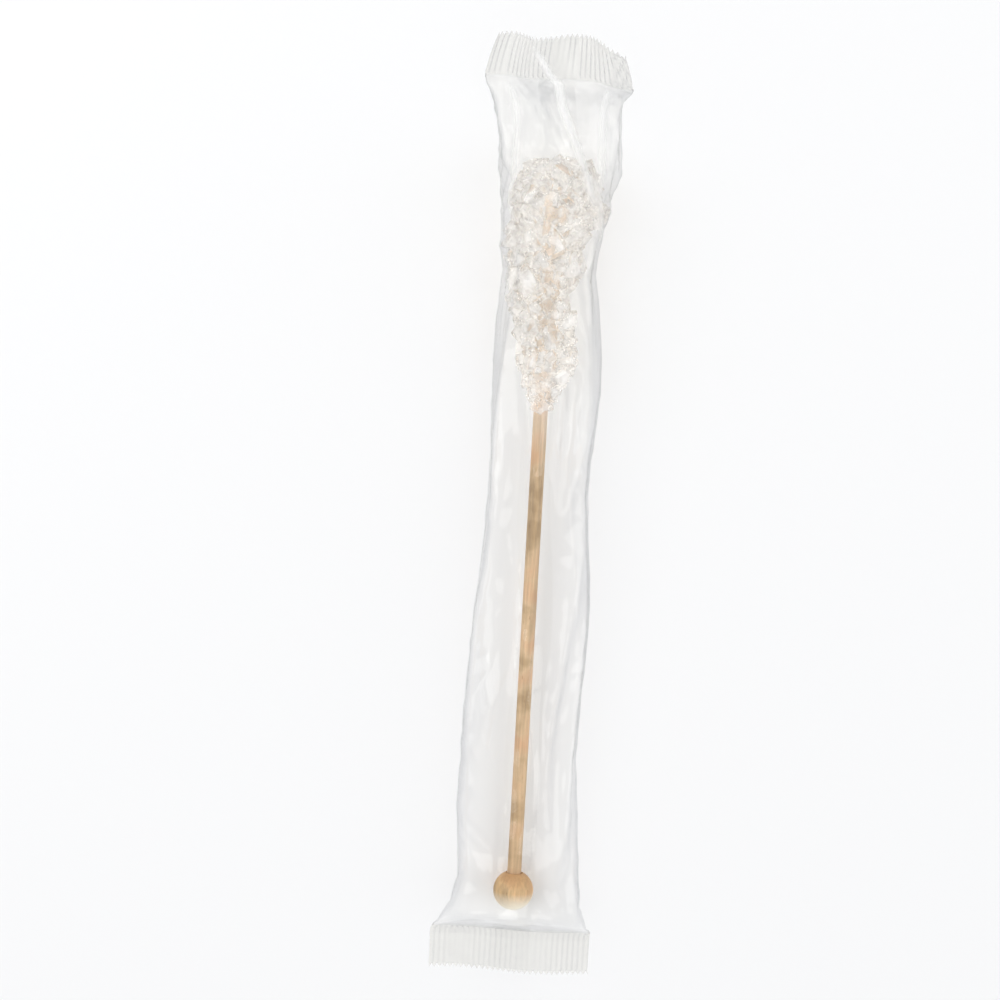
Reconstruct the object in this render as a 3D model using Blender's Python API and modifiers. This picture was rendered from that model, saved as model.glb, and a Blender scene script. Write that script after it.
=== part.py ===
"""Rock candy stick in its clear film wrapper, lying on its side.

A wooden dowel ends in a wooden ball. Sugar crystals have grown round its other end, in a lumpy
cluster that tapers to a neck. A sleeve of film encloses all of it and is pressed flat at both
ends. The frame is in metres: +Y runs along the stick from the ball to the candy, +Z is up, and
the origin is under the middle of the wrapper, on the surface that it lies on.
"""

import math
import random

import bmesh
import bpy
from mathutils import Matrix, Vector

MM = 0.001
FIT_GAP = 0.3 * MM  # left between pieces that touch on the real thing

STICK_DIAMETER = 3.2 * MM
STICK_SIDES = 14
STICK_CHAMFER = 0.25 * MM
BALL_DIAMETER = 9.5 * MM
BALL_SIDES = 18
BALL_RINGS = 11
SOCKET_DEPTH = 5.0 * MM  # how far the dowel goes into the ball
SWEET_LENGTH = 170.5 * MM  # from the ball's end to the candy's tip
SHARP_EDGE = math.radians(40)  # edges that turn further than this aren't shaded smooth

CANDY_LENGTH = 56.5 * MM
# The body that the crystals stand out of: share of the candy's length from its tip, radius and
# how far its middle lies to the side of the dowel, in millimetres.
BODY = (
    (0.0, 0.0, 0.0),
    (0.03, 5.6, 0.0),
    (0.07, 7.6, 0.0),
    (0.13, 8.4, 0.0),
    (0.20, 8.2, -0.1),
    (0.31, 6.9, -0.9),
    (0.39, 7.3, -0.7),
    (0.51, 6.2, -1.7),
    (0.60, 6.2, -0.6),
    (0.71, 6.2, 0.4),
    (0.83, 5.4, 0.6),
    (0.89, 3.9, 0.7),
    (0.95, 3.1, 0.4),
    (1.0, 2.8, 0.0),
)
FAN_SHARE = 0.13  # of the candy's length, where the crystals fan out over the tip
STICK_COVER = 3.5 * MM  # sugar beyond the dowel's end, at the tip
CORE_SHARE = 0.95  # radius of the body that fills the candy, as a share of the one in BODY
CORE_INSET = 0.9 * MM  # the crystals reach this much further than that body at both ends
BORE_RUN_OUT = 12.0 * MM  # how far the cutter for the dowel's bore sticks out at the neck
CORE_SIDES = 14
CORE_STEPS = 18

CRYSTAL_COUNT = 104
CRYSTAL_SIZE = 6.4 * MM  # the long side of a large one
CRYSTAL_SMALLEST = 0.72  # of that size, at the tip
CRYSTAL_TAPER = 0.45  # how much smaller the crystals have become at the neck
CRYSTAL_WIDTHS = (0.6, 0.8)  # least and most, as shares of its long side
CRYSTAL_DEPTHS = (0.5, 0.7)
CRYSTAL_LEAN = 0.7  # sideways against one outward
CRYSTAL_STRAY = 0.25  # radians round the candy, either way from its even place
FIRST_CRYSTAL = 0.04  # share of the candy's length where the crystals begin
LAST_CRYSTAL = 0.96
CRYSTAL_SINK = 0.16  # of its size that a crystal's middle lies under the body's radius
CRYSTAL_SEED = 23
TIP_FAN = 1.6  # how far the crystals at the tip point along the stick
SUGAR_SLANT = 0.23  # a sugar crystal leans 13 degrees to one side
# Cuts across a crystal's edges and corners: the way each looks, and how far out it lies as a share
# of the sides that it crosses.
CRYSTAL_CUTS = (
    ((1, 1, 0), 0.28),
    ((-1, -1, 0), 0.28),
    ((1, 0, 1.2), 0.39),
    ((0, -1, -1), 0.28),
)
# The bulge at one side of the fat end: how much larger its crystals are, how far out it stands,
# and its middle and half length as shares of the candy's length.
LOBE_GROWTH = 0.2
LOBE_REACH = 0.9 * MM
LOBE_SHARE = 0.18
LOBE_SPAN = 0.14

FILM_WALL = 0.4 * MM
WRAPPER_LENGTH = 214.0 * MM
TIP_MARGIN = 28.5 * MM  # film beyond the candy
ROWS = 38  # steps along the wrapper
ROW_CROWDING = 0.054  # how far rows are drawn from the middle of the wrapper towards its ends
COLUMNS = 32  # steps round it

TIP_Y = WRAPPER_LENGTH / 2 - TIP_MARGIN
BALL_Y = TIP_Y - SWEET_LENGTH + BALL_DIAMETER / 2
LYING_CLEARANCE = FILM_WALL + FIT_GAP
BALL_Z = BALL_DIAMETER / 2 + LYING_CLEARANCE
CANDY_Z = 11.2 * MM  # height of the dowel's axis where the candy is thickest
THICKEST_Y = TIP_Y - 0.2 * CANDY_LENGTH
TILT = math.atan2(CANDY_Z - BALL_Z, THICKEST_Y - BALL_Y)

# Sections of the wrapper from the ball's end to the candy's, in millimetres: place along Y, half
# width, height of the underside, of the widest line and of the top, the power that squares the
# section's corners off, and how high the section waves from side to side.
SECTIONS = (
    (-107.0, 18.2, 2.0, 2.6, 3.1, 9.0, 1.6),
    (-98.5, 18.0, 2.0, 2.6, 3.1, 9.0, 1.5),
    (-95.0, 17.2, 0.6, 3.6, 7.6, 3.4, 0.9),
    (-91.5, 15.8, -0.2, 4.6, 11.3, 2.4, 0.3),
    (-84.0, 14.8, -0.35, 5.2, 12.2, 2.0, 0.0),
    (-45.0, 14.2, -0.35, 6.0, 13.6, 2.0, 0.0),
    (0.0, 13.4, -0.35, 7.6, 17.0, 2.0, 0.0),
    (38.0, 12.8, -0.35, 9.8, 21.6, 2.0, 0.0),
    (69.0, 12.9, -0.35, 11.0, 23.4, 2.0, 0.0),
    (80.5, 13.5, -0.2, 9.2, 20.4, 2.3, 0.9),
    (91.0, 13.9, 1.9, 7.1, 11.8, 2.8, 4.3),
    (97.0, 13.9, 6.7, 7.25, 7.8, 9.0, 5.6),
    (107.0, 14.0, 6.7, 7.25, 7.8, 9.0, 6.1),
)
UNDERSIDE_POWER = 1.7  # the underside is this much squarer than the top
WAVE_LENGTH = 33.0 * MM
WAVE_START = 0.6  # radians into the wave at the wrapper's middle


def clear_scene():
    """Remove what the file already holds."""
    for obj in list(bpy.data.objects):
        bpy.data.objects.remove(obj, do_unlink=True)


def new_collection(name):
    """Make a collection in the scene."""
    collection = bpy.data.collections.new(name)
    bpy.context.scene.collection.children.link(collection)
    return collection


def finish_material(name, colour, roughness, alpha=1.0, transmission=0.0):
    """A Principled material of one colour."""
    material = bpy.data.materials.new(name)
    material.use_nodes = True
    shader = material.node_tree.nodes["Principled BSDF"]
    shader.inputs["Base Color"].default_value = (*colour, 1.0)
    shader.inputs["Roughness"].default_value = roughness
    shader.inputs["Metallic"].default_value = 0.0
    shader.inputs["Alpha"].default_value = alpha
    shader.inputs["Transmission Weight"].default_value = transmission
    material.diffuse_color = (*colour, alpha)
    return material


def object_from(bm, name, collection):
    """Turn a bmesh into a named object in a collection."""
    mesh = bpy.data.meshes.new(name)
    bm.to_mesh(mesh)
    bm.free()
    obj = bpy.data.objects.new(name, mesh)
    collection.objects.link(obj)
    return obj


def make_helper(obj):
    """Keep an object out of the render: a Boolean modifier reads it."""
    obj.hide_render = True
    obj.display_type = "WIRE"


def add_boolean(obj, name, operation, operand):
    """Join an object or a collection to obj, or cut it away."""
    modifier = obj.modifiers.new(name, "BOOLEAN")
    modifier.operation = operation
    if isinstance(operand, bpy.types.Collection):
        modifier.operand_type = "COLLECTION"
        modifier.collection = operand
    else:
        modifier.object = operand


def along_y(bm):
    """Turn what was made along Z to lie along Y."""
    bmesh.ops.rotate(bm, verts=bm.verts, matrix=Matrix.Rotation(-math.pi / 2, 3, "X"))


def dowel_mesh(radius, low, high, chamfer=0.0):
    """A round bar along Y from low to high."""
    bm = bmesh.new()
    bmesh.ops.create_cone(
        bm,
        cap_ends=True,
        segments=STICK_SIDES,
        radius1=radius,
        radius2=radius,
        depth=high - low,
    )
    along_y(bm)
    bmesh.ops.translate(bm, verts=bm.verts, vec=(0.0, (low + high) / 2, 0.0))
    if chamfer:
        rims = [e for e in bm.edges if abs(e.verts[0].co.y - e.verts[1].co.y) < chamfer]
        bmesh.ops.bevel(bm, geom=rims, offset=chamfer, segments=1, affect="EDGES")
    return bm


def make_stick(axis, collection):
    """The birch dowel, from its seat in the ball to its end inside the candy."""
    low = BALL_DIAMETER / 2 - SOCKET_DEPTH
    high = SWEET_LENGTH - BALL_DIAMETER / 2 - STICK_COVER
    stick = object_from(
        dowel_mesh(STICK_DIAMETER / 2, low, high, chamfer=STICK_CHAMFER), "stick", collection
    )
    stick.parent = axis
    stick.data.shade_smooth()
    stick.data.set_sharp_from_angle(angle=SHARP_EDGE)
    stick.data.materials.append(finish_material("birch_dowel", (0.62, 0.45, 0.27), 0.6))
    return low, high


def make_ball(axis, collection, helpers, dowel_low):
    """The turned wooden ball, with a blind socket that takes the dowel."""
    bm = bmesh.new()
    bmesh.ops.create_uvsphere(
        bm, u_segments=BALL_SIDES, v_segments=BALL_RINGS, radius=BALL_DIAMETER / 2
    )
    along_y(bm)
    ball = object_from(bm, "ball", collection)
    ball.parent = axis
    socket = object_from(
        dowel_mesh(STICK_DIAMETER / 2 + FIT_GAP, dowel_low - FIT_GAP, BALL_DIAMETER),
        "ball_socket",
        helpers,
    )
    socket.parent = axis
    make_helper(socket)
    add_boolean(ball, "socket", "DIFFERENCE", socket)
    ball.data.shade_smooth()
    ball.data.materials.append(finish_material("birch_ball", (0.60, 0.41, 0.22), 0.55))


def smooth_between(values, at):
    """Read a table of rows at one place, on a monotone cubic through each column."""
    places = [row[0] for row in values]
    last = len(places) - 1
    here = min(max(at, places[0]), places[-1])
    index = min(sum(place <= here for place in places[1:-1]), last - 1)
    gap = places[index + 1] - places[index]
    share = (here - places[index]) / gap

    def slope(row, column):
        if row in (0, last):
            return 0.0
        before = (values[row][column] - values[row - 1][column]) / (places[row] - places[row - 1])
        after = (values[row + 1][column] - values[row][column]) / (places[row + 1] - places[row])
        return 0.0 if before * after <= 0 else 2 * before * after / (before + after)

    found = []
    for column in range(1, len(values[0])):
        low, high = values[index][column], values[index + 1][column]
        start, end = slope(index, column) * gap, slope(index + 1, column) * gap
        rise = high - low
        found.append(
            low
            + start * share
            + (3 * rise - 2 * start - end) * share**2
            + (start + end - 2 * rise) * share**3
        )
    return found


def body_section(share):
    """The candy's body at a share of its length: its radius, and where its middle is across."""
    radius, across = smooth_between(BODY, share)
    return radius * MM, across * MM


def candy_core(tip, name, collection):
    """The body under the crystals: a loft through rings, some of them off the dowel's axis."""
    inset = CORE_INSET / CANDY_LENGTH
    bm = bmesh.new()
    rings = []
    for step in range(CORE_STEPS + 1):
        share = inset + (1 - 2 * inset) * step / CORE_STEPS
        radius, across = body_section(share)
        reach = radius * CORE_SHARE
        along = tip - CANDY_LENGTH * share
        ring = []
        for side in range(CORE_SIDES):
            turn = 2 * math.pi * side / CORE_SIDES
            place = (across + reach * math.cos(turn), along, reach * math.sin(turn))
            ring.append(bm.verts.new(place))
        rings.append(ring)
    for first, second in zip(rings, rings[1:]):
        for side in range(CORE_SIDES):
            after = (side + 1) % CORE_SIDES
            bm.faces.new((first[side], first[after], second[after], second[side]))
    bm.faces.new(rings[0])
    bm.faces.new(rings[-1])
    bmesh.ops.recalc_face_normals(bm, faces=bm.faces)
    return object_from(bm, name, collection)


def crystal_mesh(size, rng):
    """One sugar crystal: a slanted block with its long edges and two of its corners cut off."""
    length, width = size, size * rng.uniform(*CRYSTAL_WIDTHS)
    depth = size * rng.uniform(*CRYSTAL_DEPTHS)
    bm = bmesh.new()
    bmesh.ops.create_cube(bm, size=1.0)
    bmesh.ops.scale(bm, vec=(width, depth, length), verts=bm.verts)
    slant = Matrix.Identity(3)
    slant[0][2] = SUGAR_SLANT
    bmesh.ops.transform(bm, matrix=slant, verts=bm.verts)
    for direction, share in CRYSTAL_CUTS:
        normal = Vector(direction).normalized()
        crossed = sum(side for side, part in zip((width, depth, length), direction) if part)
        cut = bmesh.ops.bisect_plane(
            bm,
            geom=bm.verts[:] + bm.edges[:] + bm.faces[:],
            plane_co=normal * crossed * share,
            plane_no=normal,
            clear_outer=True,
        )
        rim = [item for item in cut["geom_cut"] if isinstance(item, bmesh.types.BMEdge)]
        if rim:
            bmesh.ops.holes_fill(bm, edges=rim)
    bmesh.ops.recalc_face_normals(bm, faces=bm.faces)
    return bm


def grow_crystals(axis, tip, collection):
    """Crystals spread evenly over the candy's body by the golden angle, each at its own slant."""
    rng = random.Random(CRYSTAL_SEED)
    golden = math.pi * (3 - math.sqrt(5))
    for index in range(CRYSTAL_COUNT):
        share = FIRST_CRYSTAL + (LAST_CRYSTAL - FIRST_CRYSTAL) * (index + 0.5) / CRYSTAL_COUNT
        angle = index * golden + rng.uniform(-CRYSTAL_STRAY, CRYSTAL_STRAY)
        lobe = math.exp(-(((share - LOBE_SHARE) / LOBE_SPAN) ** 2)) * max(math.cos(angle), 0.0)
        size = CRYSTAL_SIZE * rng.uniform(CRYSTAL_SMALLEST, 1.0)
        size *= (1.0 - CRYSTAL_TAPER * share**2) * (1.0 + LOBE_GROWTH * lobe)
        outward = Vector((math.cos(angle), 0.0, math.sin(angle)))
        radius, across = body_section(share)
        reach = max(radius - CRYSTAL_SINK * size, 0.0) + LOBE_REACH * lobe
        place = outward * reach + Vector((across, tip - CANDY_LENGTH * share, 0.0))
        if share < FAN_SHARE:
            outward += Vector((0.0, TIP_FAN * (1 - share / FAN_SHARE), 0.0))
        lean = Vector([rng.uniform(-CRYSTAL_LEAN, CRYSTAL_LEAN) for _ in range(3)])
        turn = (outward.normalized() + lean).to_track_quat("Z", "Y")
        crystal = object_from(crystal_mesh(size, rng), f"crystal_{index:02d}", collection)
        crystal.parent = axis
        crystal.location = place
        crystal.rotation_mode = "QUATERNION"
        crystal.rotation_quaternion = turn
        make_helper(crystal)


def make_candy(axis, collection, helpers, dowel_high):
    """The crystals and the body under them as one solid, bored for the dowel."""
    tip = SWEET_LENGTH - BALL_DIAMETER / 2
    candy = candy_core(tip, "candy", collection)
    candy.parent = axis
    crystals = bpy.data.collections.new("candy_crystals")
    helpers.children.link(crystals)
    grow_crystals(axis, tip, crystals)
    add_boolean(candy, "crystals", "UNION", crystals)
    bore_low = tip - CANDY_LENGTH - BORE_RUN_OUT
    bore = object_from(
        dowel_mesh(STICK_DIAMETER / 2 + FIT_GAP, bore_low, dowel_high + FIT_GAP),
        "candy_bore",
        helpers,
    )
    bore.parent = axis
    make_helper(bore)
    add_boolean(candy, "bore", "DIFFERENCE", bore)
    candy.data.materials.append(
        finish_material("sugar_crystal", (0.93, 0.91, 0.87), 0.08, transmission=0.85)
    )


def wrapper_point(along, turn):
    """A point of the wrapper's outside: along it in metres, round it as an angle from +X."""
    half, low, side, top, power, wave = smooth_between(SECTIONS, along / MM)
    across = math.cos(turn)
    if math.sin(turn) >= 0:
        height = side + (top - side) * (1 - abs(across) ** power) ** (1 / power)
    else:
        squarer = power * UNDERSIDE_POWER
        height = side - (side - low) * (1 - abs(across) ** squarer) ** (1 / squarer)
    height += wave * math.sin(2 * math.pi * half * MM * across / WAVE_LENGTH + WAVE_START)
    return Vector((half * MM * across, along, max(height, 0.0) * MM))


def wrapper_rows():
    """Places along the wrapper, closer together where it turns from a bag into a seal."""
    rows = []
    for row in range(ROWS + 1):
        share = row / ROWS
        eased = share - ROW_CROWDING * math.sin(2 * math.pi * share)
        rows.append(WRAPPER_LENGTH * (eased - 0.5))
    return rows


def make_wrapper(collection):
    """The film: a sleeve lofted from a bag to a flat seal at each end, given its wall by Solidify."""
    bm = bmesh.new()
    rings = []
    for along in wrapper_rows():
        turns = (2 * math.pi * (column + 0.5) / COLUMNS for column in range(COLUMNS))
        rings.append([bm.verts.new(wrapper_point(along, turn)) for turn in turns])
    for first, second in zip(rings, rings[1:]):
        for column in range(COLUMNS):
            after = (column + 1) % COLUMNS
            bm.faces.new((first[column], first[after], second[after], second[column]))
    bmesh.ops.recalc_face_normals(bm, faces=bm.faces)
    wrapper = object_from(bm, "wrapper", collection)
    wall = wrapper.modifiers.new("wall", "SOLIDIFY")
    wall.thickness = FILM_WALL
    wall.offset = -1.0
    wrapper.data.shade_smooth()
    wrapper.data.materials.append(
        finish_material("clear_film", (0.93, 0.94, 0.96), 0.1, alpha=0.2)
    )


def main():
    clear_scene()
    collection = new_collection("rock_candy_stick")
    helpers = new_collection("helpers")
    axis = bpy.data.objects.new("stick_axis", None)
    collection.objects.link(axis)
    axis.location = (0.0, BALL_Y, BALL_Z)
    axis.rotation_euler = (TILT, 0.0, 0.0)
    dowel_low, dowel_high = make_stick(axis, collection)
    make_ball(axis, collection, helpers, dowel_low)
    make_candy(axis, collection, helpers, dowel_high)
    make_wrapper(collection)


main()
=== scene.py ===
"""Looks for a rock candy stick that lies in its clear film wrapper."""

import math

import bmesh
import bpy
import numpy as np
from mathutils import Matrix, Vector, noise
from mathutils.bvhtree import BVHTree


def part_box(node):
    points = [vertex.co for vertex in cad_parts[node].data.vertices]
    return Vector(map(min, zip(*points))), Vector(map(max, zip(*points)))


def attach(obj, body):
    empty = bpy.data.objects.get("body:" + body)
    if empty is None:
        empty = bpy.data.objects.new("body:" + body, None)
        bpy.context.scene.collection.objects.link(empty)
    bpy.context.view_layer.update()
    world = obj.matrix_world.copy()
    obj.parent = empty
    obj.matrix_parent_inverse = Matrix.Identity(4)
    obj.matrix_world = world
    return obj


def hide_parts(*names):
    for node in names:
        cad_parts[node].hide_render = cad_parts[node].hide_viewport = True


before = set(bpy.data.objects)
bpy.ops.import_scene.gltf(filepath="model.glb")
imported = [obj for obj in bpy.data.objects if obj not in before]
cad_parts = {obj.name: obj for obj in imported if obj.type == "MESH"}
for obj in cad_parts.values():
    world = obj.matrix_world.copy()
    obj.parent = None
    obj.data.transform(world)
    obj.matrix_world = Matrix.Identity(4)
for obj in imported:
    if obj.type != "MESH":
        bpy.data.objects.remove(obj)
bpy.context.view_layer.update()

MM = 0.001
BODY = "root"
SEED = 5

# ---------------------------------------------------------------- where the CAD puts the pieces


def node_points(node):
    """All points of a CAD node, one a row."""
    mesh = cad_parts[node].data
    points = np.zeros(len(mesh.vertices) * 3)
    mesh.vertices.foreach_get("co", points)
    return points.reshape(-1, 3)


def end_centre(points, sign):
    """Middle of the points at a bar's low (-1) or high (+1) end along Y."""
    along = points[:, 1] * sign
    end = points[along > along.max() - MM]
    return Vector((end.min(0) + end.max(0)) / 2)


stick_points = node_points("stick")
stick_low, stick_high = end_centre(stick_points, -1), end_centre(stick_points, 1)
stick_axis = (stick_high - stick_low).normalized()
stick_length = (stick_high - stick_low).length
tilt = math.asin(stick_axis.z)
ball_low, ball_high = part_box("ball")
ball_centre = (ball_low + ball_high) / 2
ball_radius = (ball_high.y - ball_low.y) / 2
candy_low, candy_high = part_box("candy")
DOWEL_RADIUS = 1.6 * MM
# The dowel, ball and candy are made round the Y axis from the ball's centre, then moved by this.
TO_WORLD = Matrix.Translation(ball_centre) @ Matrix.Rotation(tilt, 4, "X")
TIP = (candy_high.y - ball_centre.y) / stick_axis.y  # of the candy, along the dowel
CANDY_LENGTH = (candy_high.y - candy_low.y) / stick_axis.y

# ---------------------------------------------------------------- camera, floor and light

VIEW_WIDTH = 0.2278  # of what the picture takes in, at the part
VIEW_DISTANCE = 0.96
LOOK_DOWN = math.radians(8.5)  # from straight above, towards the candy end
LEAN = math.radians(3.2)  # the dowel's lean in the picture
CENTRE_FROM_BALL = (-0.0030, 0.0888)  # right and up in the picture
SENSOR = 36.0
# Soft lamps: name, place, what it points at, size and power.
LAMPS = (
    ("key", (-0.75, 0.25, 0.80), (0, 0.02, 0), (1.0, 1.2), 7.0),
    ("fill", (0.85, 0.0, 0.65), (0, 0, 0), (0.7, 1.2), 4.0),
    ("end", (0.05, 1.0, 0.45), (0, 0.05, 0), (0.9, 0.4), 2.6),
    ("near", (0.10, -1.0, 0.50), (0, 0.05, 0), (0.9, 0.5), 2.0),
)
SKY_COLOUR = (0.97, 0.98, 1.0, 1)
SKY_STRENGTH = 0.50
FLOOR_SIZE = 6.0
FLOOR_COLOUR = (0.88, 0.88, 0.88)
FLOOR_ROUGHNESS = 0.6


def make_camera():
    """A camera that looks down on the part, with the dowel leaning in its picture."""
    up = Vector((0, math.cos(LOOK_DOWN), -math.sin(LOOK_DOWN)))
    right = Vector((1, 0, 0))
    back = Vector((0, math.sin(LOOK_DOWN), math.cos(LOOK_DOWN)))
    leaned_up = math.cos(LEAN) * up - math.sin(LEAN) * right
    leaned_right = math.cos(LEAN) * right + math.sin(LEAN) * up
    target = ball_centre + CENTRE_FROM_BALL[0] * leaned_right + CENTRE_FROM_BALL[1] * leaned_up
    data = bpy.data.cameras.new("camera")
    data.sensor_width = SENSOR
    data.lens = SENSOR * VIEW_DISTANCE / VIEW_WIDTH
    data.clip_start = 0.01
    camera = bpy.data.objects.new("camera", data)
    bpy.context.scene.collection.objects.link(camera)
    turn = Matrix((leaned_right, leaned_up, back)).transposed().to_4x4()
    camera.matrix_world = Matrix.Translation(target + back * VIEW_DISTANCE) @ turn
    bpy.context.scene.camera = camera


def area_light(name, place, target, size, power):
    """A rectangular lamp at a place, turned towards a target."""
    data = bpy.data.lights.new(name, "AREA")
    data.shape = "RECTANGLE"
    data.size, data.size_y = size
    data.energy = power
    light = bpy.data.objects.new(name, data)
    light.location = place
    light.rotation_euler = (Vector(target) - Vector(place)).to_track_quat("-Z", "Y").to_euler()
    bpy.context.scene.collection.objects.link(light)


def make_studio():
    """A pale sky, soft lamps and light paths long enough for clear sugar in clear film."""
    world = bpy.data.worlds.new("studio")
    world.use_nodes = True
    background = world.node_tree.nodes["Background"]
    background.inputs["Color"].default_value = SKY_COLOUR
    background.inputs["Strength"].default_value = SKY_STRENGTH
    bpy.context.scene.world = world
    for lamp in LAMPS:
        area_light(*lamp)
    bpy.context.scene.view_settings.view_transform = "Standard"
    cycles = bpy.context.scene.cycles
    cycles.max_bounces = 24
    cycles.transmission_bounces = 20
    cycles.glossy_bounces = 6
    cycles.transparent_max_bounces = 48


def make_floor():
    """The plain pale floor that the part lies on."""
    bpy.ops.mesh.primitive_plane_add(size=FLOOR_SIZE, location=(0, 0, 0))
    floor = bpy.context.object
    floor.name = "floor"
    floor.data.materials.append(principled("pale_floor", FLOOR_COLOUR, FLOOR_ROUGHNESS)[0])


# ---------------------------------------------------------------- small helpers


def principled(name, colour, roughness):
    """A material and its Principled node."""
    material = bpy.data.materials.new(name)
    material.use_nodes = True
    shader = material.node_tree.nodes["Principled BSDF"]
    shader.inputs["Base Color"].default_value = (*colour, 1)
    shader.inputs["Roughness"].default_value = roughness
    return material, shader


def add_node(tree, kind, settings=None, **links):
    """Add a node; a link's name is its input's, with _ for a space, or inN for the Nth input."""
    node = tree.nodes.new(kind)
    for key, value in (settings or {}).items():
        setattr(node, key, value)
    for key, value in links.items():
        index = int(key[2:]) if key[:2] == "in" and key[2:].isdigit() else key.replace("_", " ")
        socket = node.inputs[index]
        if isinstance(value, bpy.types.NodeSocket):
            tree.links.new(value, socket)
        else:
            socket.default_value = value
    return node


def maths(tree, operation, *values):
    """The result of one Math node."""
    node = tree.nodes.new("ShaderNodeMath")
    node.operation = operation
    for socket, value in zip(node.inputs, values):
        if isinstance(value, bpy.types.NodeSocket):
            tree.links.new(value, socket)
        else:
            socket.default_value = value
    return node.outputs[0]


def map_range(tree, value, from_min, from_max, to_min=0.0, to_max=1.0):
    """A value mapped from one range to another, and held to it."""
    limits = {"From_Min": from_min, "From_Max": from_max, "To_Min": to_min, "To_Max": to_max}
    return add_node(tree, "ShaderNodeMapRange", Value=value, **limits).outputs[0]


def cloudiness(tree, place, scale, detail):
    """A noise texture's value."""
    texture = add_node(tree, "ShaderNodeTexNoise", Vector=place, Scale=scale, Detail=detail)
    return texture.outputs[0]


def object_from(bm, name):
    """A linked object from a bmesh."""
    mesh = bpy.data.meshes.new(name)
    bm.to_mesh(mesh)
    bm.free()
    obj = bpy.data.objects.new(name, mesh)
    bpy.context.scene.collection.objects.link(obj)
    return obj


def baked(obj, name, place=None):
    """A plain mesh object of what obj's modifiers make, moved by place, in obj's stead."""
    depsgraph = bpy.context.evaluated_depsgraph_get()
    mesh = bpy.data.meshes.new_from_object(obj.evaluated_get(depsgraph))
    mesh.name = name
    if place is not None:
        mesh.transform(place)
    bpy.data.objects.remove(obj, do_unlink=True)
    made = bpy.data.objects.new(name, mesh)
    bpy.context.scene.collection.objects.link(made)
    return made


def geometry_tree(name, inputs):
    """A Geometry Nodes tree with named inputs, and its two end nodes."""
    tree = bpy.data.node_groups.new(name, "GeometryNodeTree")
    tree.interface.new_socket("Geometry", in_out="INPUT", socket_type="NodeSocketGeometry")
    for label, kind in inputs.items():
        tree.interface.new_socket(label, in_out="INPUT", socket_type="NodeSocket" + kind)
    tree.interface.new_socket("Geometry", in_out="OUTPUT", socket_type="NodeSocketGeometry")
    return tree, tree.nodes.new("NodeGroupInput"), tree.nodes.new("NodeGroupOutput")


def run_tree(obj, tree, values):
    """Put a Geometry Nodes modifier on obj, with its inputs set by their identifiers."""
    modifier = obj.modifiers.new(tree.name, "NODES")
    modifier.node_group = tree
    for item in tree.interface.items_tree:
        if item.in_out == "INPUT" and item.name in values:
            modifier[item.identifier] = values[item.name]


# ---------------------------------------------------------------- sugar crystals

CRYSTAL_KINDS = 8
KINDS_SEED = 100
CRYSTAL_WIDTHS = (0.62, 0.85)  # of a crystal a unit long, from and to
CRYSTAL_DEPTHS = (0.55, 0.75)
CRYSTAL_SIZE = 5.6 * MM
NECK_SHARE = 0.42  # how big crystals at the neck are beside full-grown ones
SHOULDER = 0.35  # share of the candy's length from its tip up to which they are full-grown
CRYSTAL_SPACING = 1.8 * MM
DENSEST = 1.0e6  # points a square metre, before those nearer than the spacing go
CRYSTAL_LEAN = 0.75  # radians either way from standing straight out
SMALLEST = 0.55  # share of the size at its place that the smallest crystal has
UNEVEN = 0.75  # how much more of that size the biggest has
SUGAR_SLANT = 0.23  # a sugar crystal leans 13 degrees to one side
# Faces cut on a crystal's block: which way each looks, and a distance from the block's middle.
CRYSTAL_CUTS = (
    ((1, 0, 1), 0.62),
    ((-1, 0, -1), 0.62),
    ((0, 1, 1), 0.55),
    ((0, -1, -1), 0.56),
    ((1, 1, 0), 0.48),
    ((-1, -1, 0), 0.48),
    ((1, -1, 0.3), 0.50),
    ((-1, 1, -0.3), 0.50),
)
CUT_REACHES = (0.72, 0.95)  # the share of that distance at which a face lies, from and to
CUT_LEAN = 0.12
UNCUT = 0.25  # chance that a face isn't there
# The lump under the crystals: share of the candy's length from its tip, radius, and how far it
# lies to the right of the dowel, in millimetres.
LUMP = (
    (0.055, 0.0, 0.6),
    (0.060, 4.5, 0.7),
    (0.085, 7.0, 0.9),
    (0.155, 8.3, 1.2),
    (0.22, 7.4, 0.9),
    (0.29, 5.4, -0.6),
    (0.34, 5.3, -1.0),
    (0.39, 5.6, -0.7),
    (0.51, 4.4, -1.8),
    (0.60, 4.8, -0.6),
    (0.71, 5.2, 0.4),
    (0.83, 4.9, 0.6),
    (0.89, 3.2, 0.9),
    (0.95, 2.3, 0.5),
    (0.985, 1.8, 0.0),
    (0.985, 0.0, 0.0),
)
LUMP_SIDES = 28
LUMP_MERGE = 0.05 * MM


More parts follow.
